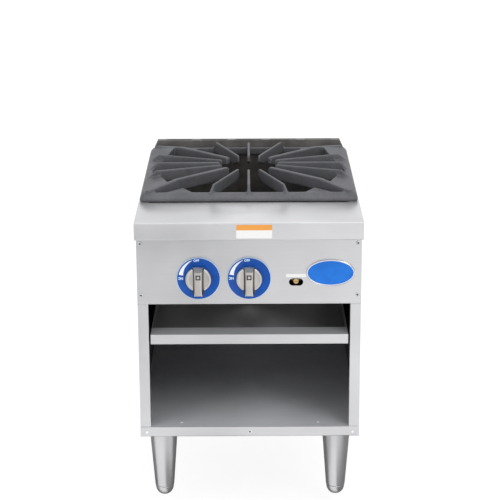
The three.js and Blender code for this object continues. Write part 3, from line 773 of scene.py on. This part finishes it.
quarter = np.radians(np.linspace(-90, 0, 17))
lead, turn = 0.006, 0.020
arc = np.column_stack([turn * np.cos(quarter), turn + turn * np.sin(quarter), 0 * quarter])
arc += (manifold_high[0] + lead, manifold_y, manifold_z)
bend_line = np.vstack([arc[:1] - (lead - 0.0003, 0, 0), arc, arc[-1:] + (0, lead, 0)])
beads = np.full(len(bend_line), pipe_radius + 0.001)
beads[[0, 1, -2, -1]] += 0.001
elbow = pipe(bend_line, beads, (0, 0, 1), sides=36, bore=pipe_bore)
piece("pipe_elbow", [(elbow, black_iron)], "supply_elbow", sharp=50)
formed("manifold_cap", black_iron, cut=0.0007)


# %% Cocks, jets and the pilot
def cock(side):
    """A gas cock: bonnet nut, barrel, and a neck with a hexagon that screws into the manifold."""
    x, face, z = knob_centre(side)
    saddle = manifold_high[2] + 0.0003
    parts = [
        rod((x, face + 0.022, z), (x, face + 0.058, z), 0.013, chamfer=0.0015),
        rod((x, face + 0.012, z), (x, face + 0.024, z), 0.0105, sides=6),
        rod((x, manifold_y, saddle), (x, manifold_y, z), 0.008),
        rod((x, manifold_y, saddle), (x, manifold_y, saddle + 0.006), 0.011, sides=6),
    ]
    piece(f"gas_cock_{side}", [(part, brass) for part in parts], f"gas_valve_{side}")
    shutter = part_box(f"air_shutter_{side}")[0].y
    jet = [rod((x, face + 0.0583, z), (x, face + 0.072, z), 0.009, sides=6)]
    jet.append(rod((x, face + 0.071, z), (x, shutter + 0.001, z), 0.005, chamfer=0.0012))
    piece(f"gas_jet_{side}", [(part, brass) for part in jet], f"orifice_{side}")
    stem = rod((x, face - 0.016, z), (x, face + 0.0117, z), 0.004)
    piece(f"stem_{side}", [(stem, brass)], f"valve_stem_{side}")
    formed(f"air_shutter_{side}", tinted_shade_steel, cut=0.0002)


for side, _ in sides:
    cock(side)
pilot_low, pilot_high = corners("pilot_valve")
pilot_x = (pilot_low[0] + pilot_high[0]) / 2
formed("pilot_valve", brass, cut=0.0003)
formed("pilot_burner", tinted_shade_steel, cut=0.0003)

# %% [markdown]
# The pilot line is soft tube, bent by hand from the valve back to the pilot head beside the inner ring. Its
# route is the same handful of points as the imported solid's.

# %% The pilot line
slot_z = knob_centre("right")[2] - 0.009
fire_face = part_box("firewall")[0].y
pilot_head = corners("pilot_burner")
head_x, head_y = 0.040, grate_centre[1] - 0.070
head_low = pilot_head[0][2]
pilot_route = [
    (pilot_x, panel_face + 0.0606, slot_z),
    (pilot_x, panel_face + 0.070, slot_z),
    (pilot_x, panel_face + 0.086, slot_z + 0.004),
    (pilot_x, fire_face, slot_z + 0.012),
    (pilot_x - 0.008, fire_face + 0.060, slot_z + 0.020),
    (head_x + 0.012, head_y - 0.024, head_low - 0.025),
    (head_x, head_y, head_low - 0.014),
    (head_x, head_y, head_low - 0.0006),
]
piece("pilot_line", [(pipe(route(pilot_route), 0.0028, sides=16), tube_metal)], "pilot_tube")

# %% [markdown]
# ## Dials and knobs
# Each dial plate is a dished ring of blue enamel with a pale edge. Its printing is a white wedge that swells
# from off to full flow, and the two words OFF and ON. The knob is cast metal: a disc with a rolled edge, and
# a waisted bar across it to grip. The bar hangs past the disc at one end, slopes back to it at the other, and
# carries a dark square with a bright middle near its upper end. Its hollow flanks are painted dark as painted
# shade.

# %% Dial plates
forward = (0, -1, 0)
dial_rim = 0.045
dial_back, dish_floor, dial_face = 0.0003, 0.0018, 0.0033


def dial(side):
    """A turned plate: blue out to the rim, and the rim's rounded edge in the pale enamel."""
    x, face, z = knob_centre(side)
    edge_from = dial_rim - 0.0016
    dished = [(0.008, dial_back), (edge_from, dial_back), (edge_from, dial_face - 0.0002, 0.0005)]
    dished += [(dial_rim - 0.005, dial_face - 0.0007, 0.002), (dial_rim - 0.016, dish_floor, 0.004)]
    dished += [(0.008, dish_floor)]
    edge = [(edge_from, dial_back), (dial_rim, dial_back, 0.0003), (dial_rim, dial_face - 0.0004, 0.0008)]
    edge += [(edge_from, dial_face, 0.0004)]
    parts = [(turned(dished, (x, face, z), forward, 128, ring=True), blue_enamel)]
    parts.append((turned(edge, (x, face, z), forward, 128, ring=True), rim_enamel))
    piece(f"dial_{side}", parts, f"bezel_{side}", sharp=50)


# %% [markdown]
# The printing lies a tenth of a millimetre above the enamel and follows its dish. The wedge is a strip
# between two radii: the outer one stays, and the inner one moves in as the angle goes from off to full.

# %% Dial printing
def dish_height(radius):
    """How far the dial's surface stands out from the panel: it rises towards the rim."""
    return np.interp(radius, [0.028, 0.039, dial_rim], [dish_floor, 0.0026, 0.0032]) + 0.0001


def on_dial(radius, angle, centre, lift=0.0):
    """Points at a radius and an angle on a dial, anticlockwise from the right."""
    x, face, z = centre
    out = face - dish_height(radius) - lift
    return np.stack([x + radius * np.cos(angle), out, z + radius * np.sin(angle)], -1)


def wedge(centre):
    """The flow mark: t runs from off to full, and the width grows from 0.3 to 9 mm."""
    t = np.linspace(0, 1, 28)
    angle = np.radians(108 + 60 * t)
    outer = np.full_like(t, 0.0408)
    inner = outer - 0.0003 - 0.0088 * t**0.85
    across = [outer + (inner - outer) * share for share in np.linspace(0, 1, 6)]
    top = np.stack([on_dial(radius, angle, centre, 0.0001) for radius in across])
    return np.stack([*top, *top[::-1] + (0, 0.0002, 0)], axis=1)


def word(text, size, centre, angle, radius):
    """Text on a dial, upright, as a flat mesh 0.3 mm thick that starts just under the enamel."""
    curve = bpy.data.curves.new(text, "FONT")
    curve.body, curve.size, curve.extrude = text, size, 0.00015
    curve.align_x, curve.align_y = "CENTER", "CENTER"
    curve.offset = size * 0.045
    made = added(text, curve)
    bpy.context.view_layer.update()
    mesh = bpy.data.meshes.new_from_object(made)
    bpy.data.objects.remove(made)
    x, face, z = centre
    place = (x + radius * math.cos(angle), face - dish_height(radius) - 0.0001, z + radius * math.sin(angle))
    mesh.transform(Matrix.Translation(place) @ Matrix.Rotation(math.radians(90), 4, "X"))
    points = np.array([vertex.co for vertex in mesh.vertices])
    faces = [list(polygon.vertices) for polygon in mesh.polygons]
    return points, faces


def dial_marks(side):
    centre = knob_centre(side)
    words = [word("OFF", 0.0066, centre, math.radians(96), 0.0383)]
    words.append(word("ON", 0.0072, centre, math.radians(180), 0.0368))
    parts = [(skin(wedge(centre)), white_print)] + [(text, pale_print) for text in words]
    piece(f"dial_marks_{side}", parts, f"bezel_{side}", replaces=())


for side, _ in sides:
    dial(side)
    dial_marks(side)


# %% Knobs
bar_half, bar_front, bar_back = 0.0072, 0.029, 0.011


def knob_bar(centre):
    """The grip: loops of one front outline, flared at its foot, from the bar's lower end to its upper end.
    Where an end lies depends on how far out a point is, so the bar hangs below and slopes back above, and its
    width grows with the fourth power of the distance from the middle, which gives it a waist."""
    x, face, z = centre
    flank = [(bar_half, bar_front, 0.0024), (bar_half + 0.0003, 0.022), (bar_half + 0.0014, 0.016)]
    flank += [(bar_half + 0.0044, bar_back)]
    outline = rounded([(-w, *rest) for w, *rest in flank[::-1]] + flank, steps=5)
    across, out = outline.T
    lower = -np.interp(out, [bar_back, 0.016, 0.027, bar_front], [0.026, 0.0304, 0.031, 0.0293])
    upper = np.interp(out, [bar_back, 0.0265, bar_front], [0.0264, 0.023, 0.0204])
    loops = []
    for share in (0, 0.003, 0.05, 0.15, 0.3, 0.5, 0.7, 0.85, 0.95, 0.997, 1):
        waist = 1 + 0.16 * (2 * share - 1) ** 4 - (0.05 if share in (0, 1) else 0)
        loops.append(np.column_stack([x + across * waist, face - out, z + lower + (upper - lower) * share]))
    return skin(loops)


def parted(shape, chosen):
    """Splits a skin in two by a test of its face centres."""
    points, faces = shape
    centres = np.array([points[face].mean(axis=0) for face in faces])
    flags = chosen(*centres.T)
    inside = [face for face, flag in zip(faces, flags) if flag]
    outside = [face for face, flag in zip(faces, flags) if not flag]
    return (points, inside), (points, outside)


def knob(side):
    """A disc with a rolled edge, the bar, and a square cap near the bar's upper end."""
    centre = x, face, z = knob_centre(side)
    back, front, skirt = 0.004, 0.013, 0.0265
    disc = [(0, back), (skirt - 0.001, back), (skirt, back + 0.002, 0.001), (skirt, front - 0.002, 0.002)]
    disc += [(skirt - 0.003, front, 0.002), (skirt - 0.006, front - 0.0008, 0.002), (0, front - 0.0008)]
    cap_z = z + 0.0098

    def square(half, proud):
        """A square plate on the bar's front, sunk a millimetre into it."""
        low = (x - half, face - bar_front - proud, cap_z - half)
        return block(low, (x + half, face - bar_front + 0.001, cap_z + half))

    flank_x, flank_y = bar_half - 0.0003, face - bar_front + 0.0024
    # The bar's flanks are painted dark as painted shade.
    flanks, bar = parted(knob_bar(centre), lambda px, py, _: (abs(px - x) > flank_x) & (py > flank_y))
    parts = [(turned(disc, centre, forward, 96), knob_metal), (bar, knob_metal), (flanks, painted_shade_flanks)]
    parts += [(square(0.0051, 0.00015), dark_ink_and_shade), (square(0.0025, 0.0003), knob_metal)]
    eased(piece(f"cast_knob_{side}", parts, f"knob_{side}", sharp=60), 0.0003)


for side, _ in sides:
    knob(side)
print("dials at", [knob_centre(side) for side, _ in sides])

# %% [markdown]
# ## The badge, labels and screws
# The badge is a domed oval of blue enamel in a bright rim with a white line, left without a mark. The rail
# carries a printed label in two colours, and a small label sits over the pilot slot. Pan head screws hold the
# control panel, and rivets plated with zinc, painted pale as painted highlights, hold the base shelf and its
# lip. A plug closes the hole in the lip; its dark middle is painted shade that stands for the dark hole.

# %% The badge
badge_low, badge_high = corners("badge_plate")
badge_centre = (badge_low + badge_high) / 2
badge_half = (badge_high - badge_low) / 2


def oval(inset, out):
    """The badge's outline, inset, at a distance out from its back face."""
    angle = np.linspace(0, 2 * np.pi, 96, endpoint=False)
    x = badge_centre[0] + (badge_half[0] - inset) * np.cos(angle)
    z = badge_centre[2] + (badge_half[2] - inset) * np.sin(angle)
    return np.stack([x, np.full_like(x, badge_high[1] - out), z], -1)


rim_steps = [(0, 0), (0, 0.0022), (0.0004, 0.0028), (0.0009, 0.0030), (0.0014, 0.0027), (0.0016, 0.0018)]
line_steps = [(0.0015, 0.0012), (0.0015, 0.0020), (0.0030, 0.0021)]
dome_steps = [(0.0028, 0.0012), (0.0028, 0.00215), (0.006, 0.0023), (0.011, 0.00245)]
dome_steps += [(0.018, 0.0026), (0.0255, 0.00265)]
badge_parts = []
for steps, finish in ((rim_steps, bright_metal), (line_steps, white_print), (dome_steps, badge_enamel)):
    badge_parts.append((skin([oval(inset, out) for inset, out in steps]), finish))
piece("badge", badge_parts, "badge_plate", sharp=50)


# %% Labels
def sticker(low, high):
    """A thin sheet with rounded corners, facing forward."""
    middle, half_size = np.add(low, high) / 2, np.subtract(high, low) / 2
    x, z = rounded_rectangle(half_size[0], half_size[2], 0.0012).T
    flat = np.stack([middle[0] + x, 0 * x, middle[2] + z], -1)
    return skin([flat + (0, y, 0) for y in (low[1], high[1])])


label_low, label_high = corners("rail_label")
band_low = label_low + (0, 0, 0.6 * (label_high[2] - label_low[2]))
paper = sticker(label_low + (0, 0.0001, 0), label_high)
band = sticker(band_low, (label_high[0], label_low[1] + 0.0002, label_high[2]))
piece("rail_sticker", [(paper, label_film), (band, orange_print)], "rail_label")
small_low, small_high = corners("pilot_label")
piece("pilot_sticker", [(sticker(small_low, small_high), label_film)], "pilot_label")


# %% Screws and rivets
def pan_screw(node):
    """A pan head with a cross recess: a turned head, and two short grooves at the bottom painted dark as shade."""
    low, high = corners(node)
    x, z = (low + high)[[0, 2]] / 2
    head = [(0, -0.007), (0.002, -0.007), (0.002, 0.0003), (0.0042, 0.0003), (0.0042, 0.0016, 0.0010)]
    head += [(0.0025, 0.0024, 0.001), (0, 0.0025)]
    parts = [(turned(head, (x, panel_face, z), forward, 40), bright_metal)]
    # The grooves are painted dark as painted shade in the recess.
    for wide, tall in ((0.0026, 0.0008), (0.0008, 0.0026)):
        groove = block((x - wide, panel_face - 0.00255, z - tall), (x + wide, panel_face - 0.0020, z + tall))
        parts.append((groove, dark_ink_and_shade))
    piece(f"pan_{node}", parts, node)


def rivet(name, centre, axis, node, radius):
    """A domed rivet head on a sheet. It has no node of its own, so it rides with the sheet."""
    # The head is zinc painted pale as a painted highlight.
    head = [(0, -0.0005), (radius, -0.0005), (radius, 0.0002), (0.75 * radius, 0.0010, 0.0008), (0, 0.0012)]
    piece(name, [(turned(head, centre, axis, 32), zinc_and_highlight)], node, replaces=())


for row in ("upper", "lower"):
    for side, _ in sides:
        pan_screw(f"panel_screw_{row}_{side}")
for side, sign in sides:
    on_lip = (sign * 0.215, panel_face, shelf_low[2] + 0.009)
    on_floor = (sign * 0.1435, panel_face + 0.026, shelf_high[2])
    rivet(f"lip_rivet_{side}", on_lip, forward, "base_shelf", 0.0028)
    rivet(f"floor_rivet_{side}", on_floor, (0, 0, 1), "base_shelf", 0.0034)

# The plug's dark middle is painted shade that stands for the dark hole behind the lip.
plug_centre = (0, panel_face, shelf_low[2] + 0.0105)
collar_line = [(0, -0.002), (0.002, -0.002), (0.0036, -0.0004), (0.0038, 0.0003), (0.0034, 0.0007, 0.0002)]
collar_line += [(0.0022, 0.0005), (0, 0.0005)]
hole_shade_line = [(0, 0.0002), (0.0022, 0.0002), (0.0021, 0.0008), (0, 0.0006)]
collar, eye = (turned(line, plug_centre, forward, 32) for line in (collar_line, hole_shade_line))
piece("lip_plug", [(collar, zinc_and_highlight), (eye, dark_ink_and_shade)], "base_shelf", replaces=())

# %% [markdown]
# ## Legs and feet
# The legs are tapered steel sleeves, welded to plates under the cabinet, and the rounded feet screw up into
# them. Both are turned shapes, brushed along their length. A leg ends in a short collar under its plate.

# %% Legs
def leg(place):
    """A sleeve, the foot in it and the plate over it: radii at heights, from the bottom up."""
    low, high = corners(f"leg_{place}")
    x, y = (low + high)[:2] / 2
    foot_low, _ = corners(f"foot_{place}")
    floor, top, base = foot_low[2], high[2], low[2]
    sleeve = [(0.0115, base + 0.001), (0.0185, base), (0.0203, base + 0.0006, 0.0006), (0.0205, base + 0.003)]
    collar = (high - low)[0] / 2
    sleeve += [(collar - 0.0009, shelf_low[2] - 0.008), (collar - 0.0009, shelf_low[2] - 0.0075)]
    sleeve += [(collar, shelf_low[2] - 0.0065), (collar, top), (0.0115, top)]
    piece(f"leg_sleeve_{place}", [(turned(sleeve, (x, y, 0), ring=True), steel_up)], f"leg_{place}")
    foot = [(0, floor), (0.009, floor, 0.002), (0.0138, floor + 0.0034, 0.003)]
    foot += [(0.0182, floor + 0.0102, 0.004), (0.0200, base - 0.0003, 0.001)]
    foot += [(0.008, base - 0.0003), (0.008, base + 0.037), (0, base + 0.037)]
    piece(f"screw_foot_{place}", [(turned(foot, (x, y, 0)), steel_up)], f"foot_{place}")
    # The plate takes the steel painted dark as painted shade under the cabinet.
    formed(f"leg_plate_{place}", tinted_shade_steel, cut=0.0006)


for row in ("front", "rear"):
    for side, _ in sides:
        leg(f"{row}_{side}")

# %% [markdown]
# ## Floor, light and camera
# The range stands over a pale floor that glows, as a white sweep lit from below does, under a soft studio
# sky that falls off to the sides. Steel shows what is around it, and in an even white room it looks like
# paper. So a dark card lies round the legs and a grey one in front on the left. Neither is seen by the
# camera nor shades anything: they show only in reflections, and the legs' dark edges and the panel's darker
# left side come from them. The floor lies as far below the feet as they can screw out, so that a lowered
# foot doesn't sink into it.

# %% Floor and cards
floor_z, floor_reach = -0.0255, 40.0


def flat_sheet(name, outline, z, finish):
    """One flat face at a height, from an outline of x and y, as part of the stage."""
    mesh = bpy.data.meshes.new(name)
    mesh.from_pydata([(x, y, z) for x, y in outline], [], [list(range(len(outline)))])
    mesh.materials.append(finish.material)
    thing = added(name, mesh)
    return thing


def card_on_floor(name, outline, shade):
    """A card on the floor that shows only in reflections."""
    card = flat_sheet(name, outline, floor_z + 0.0005, Finish(name, (shade, shade, shade), 0.9))
    card.visible_camera = card.visible_diffuse = card.visible_shadow = False


glow = {"emission_color": (1, 1, 1, 1), "emission_strength": 0.85}
floor_outline = [(sx * floor_reach, sy * floor_reach) for sx, sy in ((-1, -1), (1, -1), (1, 1), (-1, 1))]
flat_sheet("floor", floor_outline, floor_z, Finish("pale floor", (0.2, 0.2, 0.2), 0.9, **glow))

# The dark card's front edge steps in and out, set by trial until both legs were dark at both edges. It ends
# at 0.9 m on each side and short of the back, so that the legs stay lit from the sides and from behind.
near, far, behind = -0.21, -0.42, 0.32
steps = [(-0.9, near), (-0.16, near), (-0.16, far), (0, far), (0, near), (0.2, near), (0.2, far), (0.9, far)]
card_on_floor("dark card", [*steps, (0.9, behind), (-0.9, behind)], 0.07)
card_on_floor("grey card", [(-2.2, -3.2), (-0.04, -3.2), (-0.02, -1.3), (-2.2, -1.3)], 0.28)

# %% Sky and lamps
world = bpy.data.worlds.new("studio sky")
bpy.context.scene.world = world
world.use_nodes = True
background = world.node_tree.nodes["Background"]
direction = world.node_tree.nodes.new("ShaderNodeTexCoord")
view = Wire(world.node_tree, direction.outputs["Generated"])
sideways = view.node("SeparateXYZ", vector=view)
height = view.node("SeparateXYZ", output=2, vector=view)
side_share = (sideways * sideways).ramp((0.35, 0), (0.95, 1))
lift = height.ramp((0, 0), (0.9, 1))
side_loss, sky_level, zenith_gain = 0.72, 1.03, 0.05
strength = (1 - side_loss * side_share) * (sky_level + zenith_gain * lift)
world.node_tree.links.new(strength.socket, background.inputs["Strength"])
background.inputs["Color"].default_value = (0.985, 0.99, 1.0, 1)


def softbox(name, place, aim, size, power):
    """A square area light at a place, turned towards an aim."""
    light = bpy.data.lights.new(name, "AREA")
    light.size, light.energy = size, power
    lamp = added(name, light)
    back = unit(np.subtract(place, aim))
    side = unit(np.cross((0, 0, 1), back))
    axes = np.column_stack([side, np.cross(back, side), back])
    turn_and_place = np.eye(4)
    turn_and_place[:3, :3], turn_and_place[:3, 3] = axes, place
    lamp.matrix_world = Matrix(turn_and_place.tolist())


cabinet_middle = (0, 0, 0.4)
softbox("key", (1.6, -2.2, 2.4), cabinet_middle, 1.4, 22)
softbox("fill", (-2.0, -1.8, 1.6), cabinet_middle, 1.6, 6)
softbox("top", (0.2, 0.9, 2.6), cabinet_middle, 1.2, 5)

# %% Camera
camera_data = bpy.data.cameras.new("camera")
camera = added("camera", camera_data)
camera_data.lens, camera_data.sensor_width = 119.4, 36
camera_data.clip_end = 100
pitch, roll = math.radians(17), math.radians(-0.25)
look = Matrix.Rotation(math.pi / 2 - pitch, 4, "X") @ Matrix.Rotation(roll, 4, "Z")
camera.matrix_world = Matrix.Translation((0.002, -3.468, 1.550)) @ look
bpy.context.scene.camera = camera
bpy.context.scene.view_settings.view_transform = "Standard"
print("camera", [round(v, 3) for v in camera.location])
